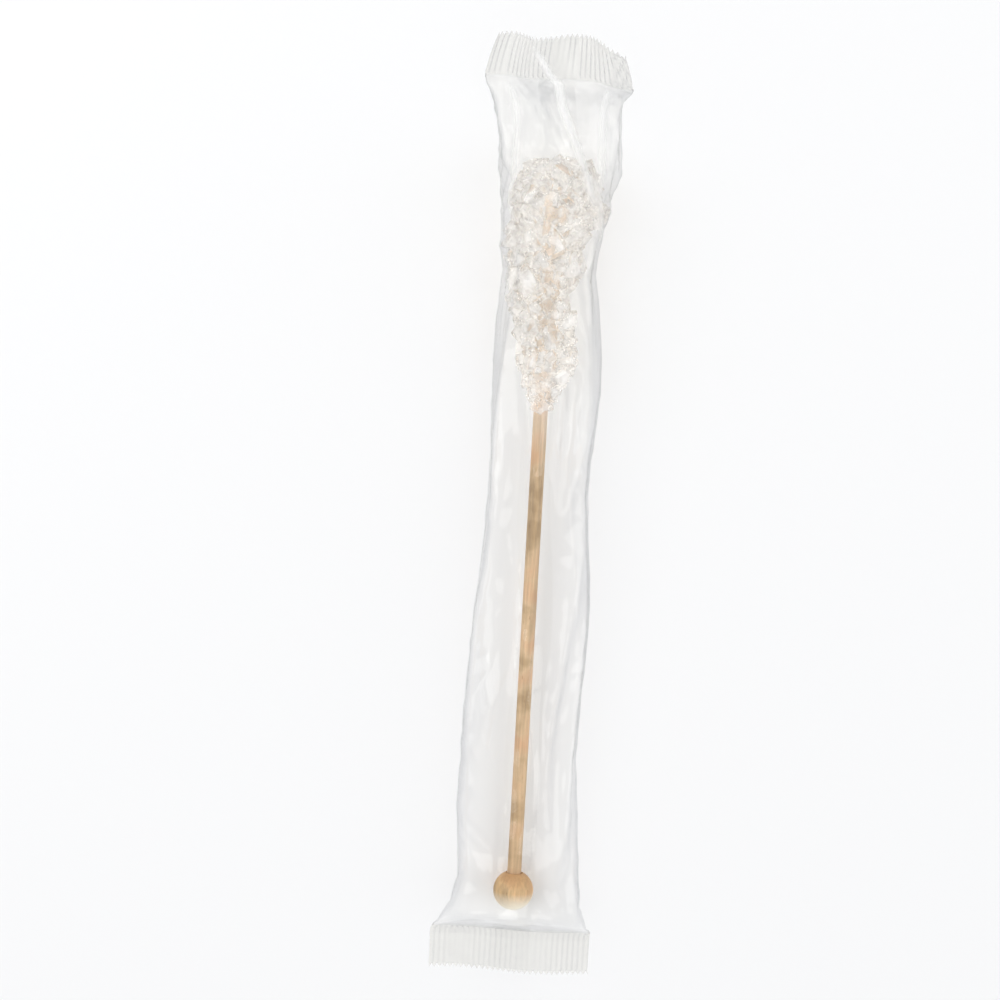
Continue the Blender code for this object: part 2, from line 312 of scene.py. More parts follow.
def crystal_kind(index):
    """One crystal, a unit long: a slanted block with some of its edges and corners cut off."""
    rng = np.random.default_rng(KINDS_SEED + index)
    bm = bmesh.new()
    bmesh.ops.create_cube(bm, size=1.0)
    size = (rng.uniform(*CRYSTAL_WIDTHS), rng.uniform(*CRYSTAL_DEPTHS), 1.0)
    bmesh.ops.scale(bm, vec=size, verts=bm.verts)
    slant = Matrix.Identity(3)
    slant[0][2] = SUGAR_SLANT
    bmesh.ops.transform(bm, matrix=slant, verts=bm.verts)
    for direction, reach in CRYSTAL_CUTS:
        if rng.random() < UNCUT:
            continue
        normal = (Vector(direction) + Vector(rng.uniform(-CUT_LEAN, CUT_LEAN, 3))).normalized()
        cut = bmesh.ops.bisect_plane(
            bm,
            geom=bm.verts[:] + bm.edges[:] + bm.faces[:],
            plane_co=normal * reach * rng.uniform(*CUT_REACHES),
            plane_no=normal,
            clear_outer=True,
        )
        rim = [item for item in cut["geom_cut"] if isinstance(item, bmesh.types.BMEdge)]
        if rim:
            bmesh.ops.holes_fill(bm, edges=rim)
    bmesh.ops.recalc_face_normals(bm, faces=bm.faces)
    mesh = bpy.data.meshes.new(f"crystal_kind_{index}")
    bm.to_mesh(mesh)
    bm.free()
    return bpy.data.objects.new(mesh.name, mesh)


def crystal_tree():
    """Crystals scattered over the lump, smaller towards its neck, and joined with it into one."""
    tree, given, result = geometry_tree(
        "grown_crystals",
        {
            "Kinds": "Collection",
            "Spacing": "Float",
            "Size": "Float",
            "Neck Size": "Float",
            "Neck": "Float",
            "Shoulder": "Float",
            "Lean": "Float",
            "Seed": "Int",
            "Material": "Material",
        },
    )
    given = given.outputs
    spread = add_node(
        tree,
        "GeometryNodeDistributePointsOnFaces",
        {"distribute_method": "POISSON"},
        Mesh=given["Geometry"],
        Distance_Min=given["Spacing"],
        Density_Max=DENSEST,
        Seed=given["Seed"],
    )
    position = add_node(tree, "GeometryNodeInputPosition").outputs[0]
    along = add_node(tree, "ShaderNodeSeparateXYZ", in0=position)
    grown = map_range(
        tree,
        along.outputs["Y"],
        given["Neck"],
        given["Shoulder"],
        given["Neck Size"],
        given["Size"],
    )
    uneven = add_node(tree, "FunctionNodeRandomValue", Seed=given["Seed"]).outputs[1]
    uneven = maths(tree, "MULTIPLY_ADD", maths(tree, "POWER", uneven, 2.0), UNEVEN, SMALLEST)
    size = maths(tree, "MULTIPLY", grown, uneven)
    lean = add_node(
        tree,
        "FunctionNodeRandomValue",
        {"data_type": "FLOAT_VECTOR"},
        in0=(-1, -1, -1),
        in1=(1, 1, 1),
    )
    lean = add_node(
        tree,
        "ShaderNodeVectorMath",
        {"operation": "SCALE"},
        in0=lean.outputs[0],
        Scale=given["Lean"],
    )
    lean = add_node(tree, "FunctionNodeEulerToRotation", in0=lean.outputs[0])
    turn = add_node(
        tree,
        "FunctionNodeRotateRotation",
        {"rotation_space": "LOCAL"},
        in0=spread.outputs["Rotation"],
        in1=lean.outputs[0],
    )
    kinds = add_node(
        tree,
        "GeometryNodeCollectionInfo",
        Collection=given["Kinds"],
        Separate_Children=True,
        Reset_Children=True,
    )
    placed = add_node(
        tree,
        "GeometryNodeInstanceOnPoints",
        Points=spread.outputs["Points"],
        Instance=kinds.outputs[0],
        Pick_Instance=True,
        Rotation=turn.outputs[0],
        Scale=size,
    )
    union = add_node(
        tree,
        "GeometryNodeMeshBoolean",
        {"operation": "UNION", "solver": "MANIFOLD"},
        in1=placed.outputs[0],
    )
    tree.links.new(given["Geometry"], union.inputs["Mesh 2"])
    real = add_node(tree, "GeometryNodeRealizeInstances", in0=union.outputs[0])
    painted = add_node(
        tree, "GeometryNodeSetMaterial", in0=real.outputs[0], Material=given["Material"]
    )
    tree.links.new(painted.outputs[0], result.inputs[0])
    return tree


def shape_lump(lump):
    """Move each part of the lump to the side of the dowel that it lies on."""
    shares, _, sideways = zip(*LUMP)
    for vertex in lump.data.vertices:
        share = (TIP - vertex.co.y) / CANDY_LENGTH
        vertex.co.x += np.interp(share, shares, sideways) * MM


def make_candy(material):
    """The candy: a lump turned round the dowel, with crystals grown all over it."""
    kinds = bpy.data.collections.new("crystal_kinds")
    for index in range(CRYSTAL_KINDS):
        kinds.objects.link(crystal_kind(index))
    bm = bmesh.new()
    points = [
        bm.verts.new((radius * MM, TIP - CANDY_LENGTH * share, 0)) for share, radius, _ in LUMP
    ]
    for first, second in zip(points, points[1:]):
        bm.edges.new((first, second))
    profile = object_from(bm, "lump_profile")
    turn = profile.modifiers.new("turn", "SCREW")
    turn.axis = "Y"
    turn.steps = turn.render_steps = LUMP_SIDES
    turn.use_smooth_shade = False
    turn.use_merge_vertices = True
    turn.merge_threshold = LUMP_MERGE
    lump = baked(profile, "lump")
    shape_lump(lump)
    run_tree(
        lump,
        crystal_tree(),
        {
            "Kinds": kinds,
            "Spacing": CRYSTAL_SPACING,
            "Size": CRYSTAL_SIZE,
            "Neck Size": NECK_SHARE * CRYSTAL_SIZE,
            "Neck": TIP - CANDY_LENGTH,
            "Shoulder": TIP - SHOULDER * CANDY_LENGTH,
            "Lean": CRYSTAL_LEAN,
            "Seed": SEED,
            "Material": material,
        },
    )
    return baked(lump, "sugar_crystals", TO_WORLD)


# ---------------------------------------------------------------- dowel and ball

DOWEL_SIDES = 40
BALL_SIDES = 64
BALL_RINGS = 26
CHAMFER = 0.25 * MM
TURNED_MERGE = 0.01 * MM
SHARP = math.radians(38)  # a turned edge that bends more isn't smoothed over
SOCKET_DEPTH = 4.2 * MM
SOCKET_CLEARANCE = 0.05 * MM
FOOT_RADIUS = 1.5 * MM  # the small flat where the ball was parted off the lathe


def turned(profile, sides, name):
    """A lathe-turned solid round the dowel's axis from (radius, place along it) points."""
    bm = bmesh.new()
    points = [bm.verts.new((radius, along, 0)) for radius, along in profile]
    for first, second in zip(points, points[1:]):
        bm.edges.new((first, second))
    outline = object_from(bm, name + "_outline")
    turn = outline.modifiers.new("turn", "SCREW")
    turn.axis = "Y"
    turn.steps = turn.render_steps = sides
    turn.use_merge_vertices = True
    turn.merge_threshold = TURNED_MERGE
    piece = baked(outline, name, TO_WORLD)
    bm = bmesh.new()
    bm.from_mesh(piece.data)
    bmesh.ops.recalc_face_normals(bm, faces=bm.faces)
    bm.to_mesh(piece.data)
    bm.free()
    piece.data.set_sharp_from_angle(angle=SHARP)
    return piece


def make_dowel(material):
    """The dowel, with a small chamfer at both ends."""
    low = (stick_low - ball_centre).dot(stick_axis)
    high = low + stick_length
    profile = [
        (0, low),
        (DOWEL_RADIUS - CHAMFER, low),
        (DOWEL_RADIUS, low + CHAMFER),
        (DOWEL_RADIUS, high - CHAMFER),
        (DOWEL_RADIUS - CHAMFER, high),
        (0, high),
    ]
    piece = turned(profile, DOWEL_SIDES, "dowel")
    piece.data.materials.append(material)
    return piece


def make_ball(material):
    """A wooden ball with a flat foot and, towards the dowel, a bore with a broken edge."""
    bore = DOWEL_RADIUS + SOCKET_CLEARANCE
    foot = math.asin(FOOT_RADIUS / ball_radius)
    rim = math.pi - math.asin((bore + CHAMFER) / ball_radius)
    arc = np.linspace(foot, rim, BALL_RINGS)
    profile = [(0.0, -ball_radius * math.cos(foot))]
    profile += [(ball_radius * math.sin(turn), -ball_radius * math.cos(turn)) for turn in arc]
    mouth = profile[-1][1]
    profile += [(bore, mouth - CHAMFER), (bore, mouth - SOCKET_DEPTH), (0.0, mouth - SOCKET_DEPTH)]
    piece = turned(profile, BALL_SIDES, "ball_end")
    piece.data.materials.append(material)
    return piece


# ---------------------------------------------------------------- the film wrapper

FILM_GIRTH = 75.0 * MM  # round the tube, so 37.5 lying flat
FILM_WALL = 0.06 * MM
FILM_SPAN = 107.0 * MM  # from the middle to either end
FILM_SLACK = 1.004  # how much longer the film is than the shape it is drawn to
SHAPED = 0.7  # how far the film takes on the drawn shape, instead of staying a flat sheet rolled up
CREASED = 0.6  # how much of the drawn bends the film keeps, as creased film does
SEAL_LENGTH = 10.0 * MM
SEAL_GAP = 0.07 * MM  # half of what is between the layers' middles in a seal
SKIN = 0.36 * MM  # kept between the film and what it holds
FLOOR_GAP = 0.25 * MM  # room for the back seam under the film
# Where the film sinks, beyond the candy's tip and over its slimmer half: the middle along the
# film and how far it reaches either way, the share of its height, and how far it lies over to
# the right.
SLUMPS = (
    (80.0 * MM, 16.0 * MM, 0.24, 1.0 * MM),
    (36.0 * MM, 36.0 * MM, 0.12, 0.8 * MM),
)
# The net's rows and columns, rounds, hold on the drawn shape at first and at last, and stiffness.
LEVELS = (
    (86, 30, 600, 0.02, 0.01, 0.02),
    (172, 60, 500, 0.01, 0.005, 0.02),
    (344, 120, 300, 0.005, 0.002, 0.01),
)
SEAL_HOLD = 0.2
HOLD_WAYS = (1, 0.1, 1)  # how much of the hold works across, along and up
END_HOLD = 0.12  # added between a seal and where the film is full
END_REACH = 28.0 * MM
KEEP = 0.9  # of a round's movement that goes on in the next
FASTEST = 1.0 * MM
LINK_PASSES = 2  # in a round
LINK_SHARE = 0.5  # of a stretch that each end of a link makes up for
SLANT_SHARE = 0.35  # the same for a slanted link, as film shears a little
GIRTH_PASSES = 10
GIRTH_STEP = 0.9  # of what is too wide or too narrow, made up for in a pass
EDGE_STEP = 0.1 * MM  # of the search for the CAD wrapper's edges, and kept inside its ends
FOLD_FADE = 5  # a fold rises and ends over one part in so many of its length
# Soft folds: from and to, each as a place along Y in mm and a share of the way round (0 right,
# 0.25 top, 0.5 left), then height and half width in mm.
FOLDS = (
    ((96, 0.30), (70, 0.16), 2.0, 5.0),
    ((98, 0.07), (72, 0.04), 1.5, 3.0),
    ((98, 0.45), (76, 0.43), 1.5, 3.5),
    ((62, 0.08), (-70, 0.10), 1.2, 6.0),
    ((40, 0.40), (-88, 0.36), 1.6, 7.0),
    ((20, 0.30), (-60, 0.24), -1.0, 6.0),
    ((-96, 0.12), (-72, 0.22), 1.6, 6.0),
    ((-96, 0.40), (-78, 0.33), 1.4, 6.0),
)
# Pleats left by handling: from and to along Y, how long and how far apart, how high, all in mm,
# and how far they wind round in radians a mm.
PLEATS = (
    (-97, 66, 60, 7, 2.4, 0.002),
    (62, 98, 26, 9, 0.8, 0.02),
)
# Sharp creases: places that each goes through, along Y in mm and as a share of the way round, then
# height and half width in mm. A valley's height is below 0.
CREASES = (
    (((105, 0.335), (96, 0.245), (88, 0.222), (78, 0.185), (72.5, 0.15), (69, 0.11)), 0.8, 1.3),
    (((97, 0.095), (86, 0.115), (70, 0.12)), 0.5, 1.2),
    (((89, 0.31), (80, 0.325), (70, 0.335)), -0.5, 1.3),
    (((96, 0.42), (84, 0.40), (66, 0.41)), 0.4, 1.2),
    (((77, 0.16), (69, 0.10), (60, 0.06)), 0.5, 1.2),
)
# Crinkles: from and to along Y, how far apart and how high, in mm.
CRINKLES = ((62, 98, 5.0, 0.30), (62, 98, 2.4, 0.14), (-97, 66, 5.5, 0.16))
# Over how many mm along Y pleats, creases and crinkles rise and end.
PLEAT_FADE = 12
CREASE_FADE = 3
CRINKLE_FADE = 6
CRINKLE_STRETCH = 1.6  # a crinkle's length along Y, in distances to the next
# How the candy end's seal curls: places across it, from -1 to 1, and the turn there in degrees.
CURLS = (
    (-1.0, 50),
    (-0.6, 25),
    (-0.35, 48),
    (-0.1, 35),
    (0.2, -5),
    (0.35, 10),
    (0.6, 60),
    (0.97, 100),
)
CURL_RUN = 9.0 * MM


def piece_tree(mesh, turn=None):
    """A mesh's faces, for ray casts, its points turned first if asked."""
    points = [turn @ v.co if turn else v.co.copy() for v in mesh.vertices]
    return BVHTree.FromPolygons(points, [face.vertices[:] for face in mesh.polygons])


class Core:
    """How far what is inside the film reaches from the dowel's axis, along it and round it."""

    STEP = 0.5 * MM
    TURNS = 120
    START = -8.0 * MM
    BEYOND = 6.0 * MM  # the tip, so that the last step is clear of it
    FAR = 30.0 * MM
    BRIDGE = 2  # steps that the film spans
    SAG = 0.2 * MM  # how far it sinks at each of them

    def __init__(self, pieces):
        """Feel for the pieces from outside, then bridge their hollows as drawn film does."""
        self.rows = int((TIP + self.BEYOND - self.START) / self.STEP)
        self.reach = np.zeros((self.rows, self.TURNS))
        for piece in pieces:
            tree = piece_tree(piece.data, TO_WORLD.inverted())
            for i in range(self.rows):
                for j in range(self.TURNS):
                    turn = 2 * math.pi * j / self.TURNS
                    out = Vector((math.cos(turn), 0, math.sin(turn)))
                    along = Vector((0, self.START + i * self.STEP, 0))
                    hit = tree.ray_cast(along + self.FAR * out, -out)
                    if hit[0] is not None:
                        self.reach[i, j] = max(self.reach[i, j], self.FAR - hit[3])
        bridged = self.reach.copy()
        for down in range(-self.BRIDGE, self.BRIDGE + 1):
            for side in range(-self.BRIDGE, self.BRIDGE + 1):
                moved = np.roll(np.roll(self.reach, down, 0), side, 1)
                np.maximum(bridged, moved - self.SAG * (abs(down) + abs(side)), out=bridged)
        self.reach = np.where(bridged > DOWEL_RADIUS / 2, bridged + SKIN, 0)
        self.centre = np.array(ball_centre)
        self.axis = np.array(stick_axis)
        self.across = np.array(stick_axis.cross(Vector((-1, 0, 0))))

    def push_out(self, points):
        """Move points that are inside what the film holds out to its surface."""
        offset = points - self.centre
        side, up = offset[..., 0], offset @ self.across
        away = np.hypot(side, up) + 1e-9
        row = np.clip((offset @ self.axis - self.START) / self.STEP, 0, self.rows - 1.001)
        turn = np.arctan2(up, side) / (2 * math.pi) * self.TURNS % self.TURNS
        i, j = row.astype(int), turn.astype(int) % self.TURNS
        row, turn, k = row - i, turn - np.floor(turn), (j + 1) % self.TURNS
        here = self.reach[i, j] * (1 - turn) + self.reach[i, k] * turn
        there = self.reach[i + 1, j] * (1 - turn) + self.reach[i + 1, k] * turn
        push = np.maximum(here * (1 - row) + there * row - away, 0) / away
        points[..., 0] += side * push
        points += (up * push)[..., None] * self.across


def wrapper_outlines(rows, columns):
    """The CAD wrapper's outline at each row, from the right edge round, at even steps."""
    tree = piece_tree(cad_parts["wrapper"].data)
    low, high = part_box("wrapper")
    slices = 90
    spread = np.cos(np.linspace(0, math.pi, slices + 1))
    outlines = np.zeros((rows, columns, 3))
    outlines[..., 1] = np.linspace(-FILM_SPAN, FILM_SPAN, rows)[:, None]

    def height_at(x, y, from_below):
        """Where a ray straight down, or straight up, meets the CAD wrapper."""
        start = Vector((x, y, -1 if from_below else 1))
        hit = tree.ray_cast(start, Vector((0, 0, -start.z)))[0]
        return hit and hit.z

    for outline, y in zip(outlines, outlines[:, 0, 1]):
        y = min(max(y, low.y + EDGE_STEP), high.y - EDGE_STEP)
        edge = high.x
        while height_at(edge, y, False) is None or height_at(-edge, y, False) is None:
            edge -= EDGE_STEP
        x = edge * spread
        under, top = ([height_at(side, y, below) for side in x] for below in (True, False))
        under[0] = top[0] = (under[1] + top[1]) / 2
        under[-1] = top[-1] = (under[-2] + top[-2]) / 2
        x = np.concatenate([x, x[-2::-1]])
        z = np.array(top + under[-2::-1])
        walked = np.concatenate([[0], np.cumsum(np.hypot(np.diff(x), np.diff(z)))])
        halves = (0, walked[slices]), (walked[slices], walked[-1])
        even = np.concatenate([np.linspace(*half, columns // 2 + 1)[:-1] for half in halves])
        outline[:, 0] = np.interp(even, walked, x)
        outline[:, 2] = np.interp(even, walked, z)
    return outlines


def fit_girth(points):
    """Make each row of the net narrower or wider until the film is just as long round it."""
    middle = points[..., :1].mean(1, keepdims=True)[..., 0]
    for _ in range(GIRTH_PASSES):
        steps = points - np.roll(points, 1, 1)
        girth = np.hypot(steps[..., 0], steps[..., 2]).sum(1)
        wider = (1 + GIRTH_STEP * (FILM_GIRTH / girth - 1))[:, None]
        points[..., 0] = middle + (points[..., 0] - middle) * wider


def even_columns(points):
    """Space each row's points evenly round the film."""
    columns = points.shape[1]
    for row in points:
        closed = np.concatenate([row, row[:1]])
        walked = np.concatenate([[0], np.cumsum(np.linalg.norm(np.diff(closed, axis=0), axis=1))])
        start = (walked[columns // 2] - walked[-1] / 2) / 2
        at = (start + walked[-1] * np.arange(columns) / columns) % walked[-1]
        row[:] = np.stack([np.interp(at, walked, closed[:, axis]) for axis in range(3)], -1)


def slump(points):
    """Lower the film where little holds it up, and move it over."""
    y = points[..., 1].copy()
    for middle, reach, sunk, side in SLUMPS:
        much = np.cos(np.clip((y - middle) / reach, -1, 1) * math.pi / 2) ** 2
        points[..., 0] += side * much
        points[..., 2] *= 1 - sunk * much


def outward(points):
    """The net's normals."""
    along = np.gradient(points, axis=0)
    round_ = np.roll(points, -1, 1) - np.roll(points, 1, 1)
    normal = np.cross(along, round_)
    return normal / (np.linalg.norm(normal, axis=-1, keepdims=True) + 1e-12)


def fold_heights(rows, columns):
    """How far folds and pleats lift each point of the net."""
    y = np.linspace(-FILM_SPAN, FILM_SPAN, rows)[:, None]
    share = (np.arange(columns) / columns)[None, :]
    lift = np.zeros((rows, columns))
    for (y_from, share_from), (y_to, share_to), height, width in FOLDS:
        part = (y / MM - y_from) / (y_to - y_from)
        away = (share - share_from - part * (share_to - share_from) + 0.5) % 1 - 0.5
        ridge = np.maximum(1 - np.abs(away) * FILM_GIRTH / (width * MM), 0)
        ends = np.clip(np.minimum(part, 1 - part) * FOLD_FADE, 0, 1)
        lift += height * MM * ridge * ends
    for y_from, y_to, long, across, height, twist in PLEATS:
        around = FILM_GIRTH / (2 * math.pi * across * MM)
        for i in range(rows):
            place = y[i, 0] / MM
            rise = np.clip(min(place - y_from, y_to - place) / PLEAT_FADE, 0, 1)
            strength = rise * height * MM
            if strength > 0:
                for j in range(columns):
                    turn = 2 * math.pi * j / columns + twist * place
                    spot = (around * math.cos(turn), around * math.sin(turn), place / long + SEED)
                    lift[i, j] += strength * (0.65 - min(2.2 * abs(noise.noise(spot)), 1))
    return lift


def crease_ridges(rows, columns):
    """Each crease over the net: 1 along its line, falling to 0 at its half width."""
    y = np.linspace(-FILM_SPAN, FILM_SPAN, rows) / MM
    share = np.arange(columns) / columns
    ridges = []
    for path, _, width in CREASES:
        places, shares = zip(*sorted(path))
        away = (share - np.interp(y, places, shares)[:, None] + 0.5) % 1 - 0.5
        ends = np.clip(np.minimum(y - places[0], places[-1] - y) / CREASE_FADE, 0, 1)[:, None]
        ridges.append(ends * np.maximum(1 - np.abs(away) * FILM_GIRTH / (width * MM), 0))
    return ridges


def crease(points):
    """Sharpen the net that has come to rest with creases and crinkles."""
    rows, columns = points.shape[:2]
    y = np.linspace(-FILM_SPAN, FILM_SPAN, rows) / MM
    share = np.arange(columns) / columns
    lift = np.zeros((rows, columns))
    unsealed = np.clip((FILM_SPAN - SEAL_LENGTH) / MM - np.abs(y), 0, 2)[:, None] / 2
    for ridge, (_, height, _) in zip(crease_ridges(rows, columns), CREASES):
        lift += height * MM * ridge * unsealed
    for y_from, y_to, across, height in CRINKLES:
        around = FILM_GIRTH / (2 * math.pi * across * MM)
        for i in range(rows):
            rise = np.clip(min(y[i] - y_from, y_to - y[i]) / CRINKLE_FADE, 0, 1)
            strength = rise * height * MM
            if strength > 0:
                for j in range(columns):
                    turn = 2 * math.pi * share[j]
                    along = y[i] / across / CRINKLE_STRETCH
                    spot = (around * math.cos(turn), around * math.sin(turn), along)
                    lift[i, j] += strength * (0.5 - min(3 * abs(noise.noise(spot)), 1))
    points += outward(points) * lift[..., None]


def curl_end(points):
    """Bend the candy end's seal up and down out of its plane, more for some of its width."""
    start = FILM_SPAN - SEAL_LENGTH - CURL_RUN
    beyond = np.maximum(points[..., 1] - start, 0)
    side = points[..., 0] / (FILM_GIRTH / 4)
    lift = np.interp(side, [place for place, _ in CURLS], [math.radians(turn) for _, turn in CURLS])
    eased = lift * np.clip(beyond / CURL_RUN, 0, 1) / 2
    points[..., 1] -= beyond * (1 - np.cos(eased))
    points[..., 2] += beyond * np.sin(eased)


def finer(points, rows, columns):
    """The net with more rows and columns, by cubic interpolation both ways."""

    def between(a, b, c, d, t):
        """A share t of the way from b to c, on the curve through all four."""
        return b + 0.5 * t * (c - a + t * (2 * a - 5 * b + 4 * c - d + t * (3 * (b - c) + d - a)))

    old_rows, old_columns = points.shape[:2]
    place = np.linspace(0, old_rows - 1, rows)
    i = np.clip(place.astype(int), 0, old_rows - 2)
    ended = np.concatenate([2 * points[:1] - points[1:2], points, 2 * points[-1:] - points[-2:-1]])
    points = between(*(ended[i + k] for k in range(4)), (place - i)[:, None, None])
    place = np.arange(columns) * old_columns / columns
    j = place.astype(int)
    near = (points[:, (j + k) % old_columns] for k in (-1, 0, 1, 2))
    return between(*near, (place - j)[None, :, None])


def net_links(drawn):
    """Pairs of the net's points, the length that the film keeps between them, and their share."""
    rows, columns = drawn.shape[:2]
    every, all_rows = np.arange(columns), np.arange(rows)
    along = FILM_SLACK * np.linalg.norm(np.diff(drawn, axis=0), axis=-1)
    across = np.linalg.norm(np.roll(drawn, -1, 1) - drawn, axis=-1)
    links = []
    for start in (0, 1):
        first = np.arange(start, rows - 1, 2)
        pair = np.ix_(first, every), np.ix_(first + 1, every)
        links.append((*pair, along[first], LINK_SHARE))
    for start in (0, 1):
        first = np.arange(start, columns, 2)
        beside = (first + 1) % columns
        pair = np.ix_(all_rows, first), np.ix_(all_rows, beside)
        links.append((*pair, across[:, first], LINK_SHARE))
    for start in (0, 1):
        first = np.arange(start, rows - 1, 2)
        for side in (1, -1):
            pair = np.ix_(first, every), np.ix_(first + 1, (every + side) % columns)
            slanted = np.linalg.norm(drawn[pair[1]] - drawn[pair[0]], axis=-1)
            slanted += (1 - SHAPED) * (np.hypot(along[first], across[first]) - slanted)
            links.append((*pair, slanted, SLANT_SHARE))
    return links


def seal_size(rows):
    """How many of the net's rows an end seal takes up."""
    return round(SEAL_LENGTH / (2 * FILM_SPAN) * rows)


def press_seals(points, seal_rows):
    """Lay the two layers of each end on each other."""
    columns = points.shape[1]
    column = np.arange(columns)
    across = (columns - column) % columns
    above = np.where(column < columns / 2, 1, -1) * np.where(column % (columns // 2), 1, 0)
    for seal in (points[:seal_rows], points[-seal_rows:]):
        middle = (seal + seal[:, across]) / 2
        run = np.roll(middle, -1, 1) - np.roll(middle, 1, 1)
        run[:, [0, columns // 2]] = (1, 0, 0)
        normal = np.stack([-run[..., 2], 0 * run[..., 1], run[..., 0]], -1)
        normal *= np.sign(run[..., :1]) / (np.linalg.norm(normal, axis=-1, keepdims=True) + 1e-12)
        seal[:] = middle + normal * (above * SEAL_GAP)[None, :, None]


def bending(points):
    """How sharply the net bends at each point, round it and along it."""
    bend = np.roll(points, 1, 1) + np.roll(points, -1, 1) - 2 * points
    bend = np.roll(bend, 1, 1) + np.roll(bend, -1, 1) - 2 * bend
    curl = points[2:] + points[:-2] - 2 * points[1:-1]
    bend[2:-2] += curl[2:] + curl[:-2] - 2 * curl[1:-1]
    return bend


def settle(points, drawn, rounds, hold_first, hold_last, stiffness, core):
    """Let the net come to rest: film bends but hardly stretches."""
    links = net_links(drawn)
    creases = CREASED * bending(drawn)
    seal_rows = seal_size(len(points))
    from_end = FILM_SPAN - SEAL_LENGTH - np.abs(drawn[:, :1, 1:2])
    near_end = np.clip(1 - from_end / END_REACH, 0, 1) ** 2
    moved = np.zeros_like(points)
    for step in range(rounds):
        before = points.copy()
        points = points + KEEP * moved
        hold = hold_first + (hold_last - hold_first) * step / rounds + END_HOLD * near_end
        hold[:seal_rows] = hold[-seal_rows:] = SEAL_HOLD
        points += (drawn - points) * hold * HOLD_WAYS
        points -= stiffness * (bending(points) - creases)
        for _ in range(LINK_PASSES):
            for first, second, length, share in links:
                gap = points[second] - points[first]
                far = np.sqrt(np.einsum("ijk,ijk->ij", gap, gap)) + 1e-9
                gap *= (share * (1 - length / far))[..., None]
                points[first] += gap
                points[second] -= gap
        press_seals(points, seal_rows)
        core.push_out(points)
        points[..., 2] = np.maximum(points[..., 2], FLOOR_GAP)
        moved = points - before
        speed = np.linalg.norm(moved, axis=-1, keepdims=True)
        moved *= np.minimum(1, FASTEST / (speed + 1e-12))
    return points


def film_net(core):
    """Where the film's points come to rest."""
    finest_rows, finest_columns = LEVELS[-1][:2]
    drawn = wrapper_outlines(finest_rows, finest_columns)
    fit_girth(drawn)
    slump(drawn)
    fit_girth(drawn)
    drawn += outward(drawn) * fold_heights(finest_rows, finest_columns)[..., None]
    curl_end(drawn)
    fit_girth(drawn)
    even_columns(drawn)
    drawn[..., 2] = np.maximum(drawn[..., 2], FLOOR_GAP)
    points = shape = None
    for rows, columns, rounds, hold_first, hold_last, stiffness in LEVELS:
        picked = np.linspace(0, finest_rows - 1, rows).round().astype(int)
        coarser, shape = shape, drawn[picked][:, :: finest_columns // columns]
        if points is None:
            points = shape.copy()
        else:
            folds = shape - finer(coarser, rows, columns)
            points = finer(points, rows, columns) + folds
        points = settle(points, shape, rounds, hold_first, hold_last, stiffness, core)
    crease(points)
    core.push_out(points)
    points[..., 2] = np.maximum(points[..., 2], FLOOR_GAP)
    return points


RIB_DEPTH = 0.18 * MM
TOOTH = 0.45 * MM
HANDLED = 0.4  # how hazy the crumpled film beside the candy end's seal is, next to the seal itself
HANDLED_REACH = 3.5  # how many of a seal's lengths that goes on for


def painted_crease_highlights(rows, columns):
    """Painted highlight: how white the film is painted along each crease's ridge, by the crease's
    height.
    """
    white = np.zeros((rows, columns))
    for ridge, (_, height, _) in zip(crease_ridges(rows, columns), CREASES):
        white = np.maximum(white, np.clip(height / CREASES[0][1], 0, 1) * ridge)
    return white


def walled(mesh, material, thickness, name):
    """A piece of film, its open sheet given a wall."""
    mesh.materials.append(material)
    sheet = bpy.data.objects.new(name, mesh)
    bpy.context.scene.collection.objects.link(sheet)
    wall = sheet.modifiers.new("wall", "SOLIDIFY")
    wall.thickness = thickness
    wall.offset = 0
    return baked(sheet, name)


def make_film(points, material):
    """The film as a thin-walled tube with ribbed, toothed seals at its ends."""
    rows, columns = points.shape[:2]
    points = points.copy()
    seal_rows = seal_size(rows)
    odd = np.where(np.arange(columns) % 2, 1, -1)
    ribs = outward(points) * np.where(np.arange(columns) < columns / 2, 1, -1)[None, :, None]
    for seal in (slice(1, seal_rows - 1), slice(1 - seal_rows, -1)):
        points[seal] += ribs[seal] * (odd * RIB_DEPTH)[None, :, None]
    points[0, :, 1] += odd * TOOTH
    points[-1, :, 1] -= odd * TOOTH
    points[..., 2] = np.maximum(points[..., 2], FLOOR_GAP)
    number = np.arange(rows * columns).reshape(rows, columns)
    beside = np.roll(number, -1, 1)
    quads = np.stack([number[:-1], beside[:-1], beside[1:], number[1:]], -1).reshape(-1, 4)
    mesh = bpy.data.meshes.new("film_wrapper")
    mesh.from_pydata(points.reshape(-1, 3).tolist(), [], quads.tolist())
    # White painted along the crease ridges stands in for their highlight.
    whitened = mesh.attributes.new("whitened", "FLOAT", "POINT")
    whitened.data.foreach_set("value", painted_crease_highlights(rows, columns).ravel())
    sealed = mesh.attributes.new("sealed", "FLOAT", "POINT")
    row = np.arange(rows)
    haze = HANDLED * np.clip(1 - (rows - row - seal_rows) / (HANDLED_REACH * seal_rows), 0, 1)
    haze[:seal_rows] = haze[-seal_rows:] = 1
    sealed.data.foreach_set("value", np.repeat(haze, columns))
    row_of = np.repeat(np.arange(rows - 1), columns)
    smooth = (row_of >= seal_rows - 1) & (row_of <= rows - 1 - seal_rows)
    mesh.polygons.foreach_set("use_smooth", smooth)
    return walled(mesh, material, FILM_WALL, "film_wrapper")


FIN_COLUMNS = (83, 97)  # of the net, on its underside
FIN_GAP = 0.11 * MM
FIN_WALL = 0.08 * MM
FIN_RIB = 0.02 * MM


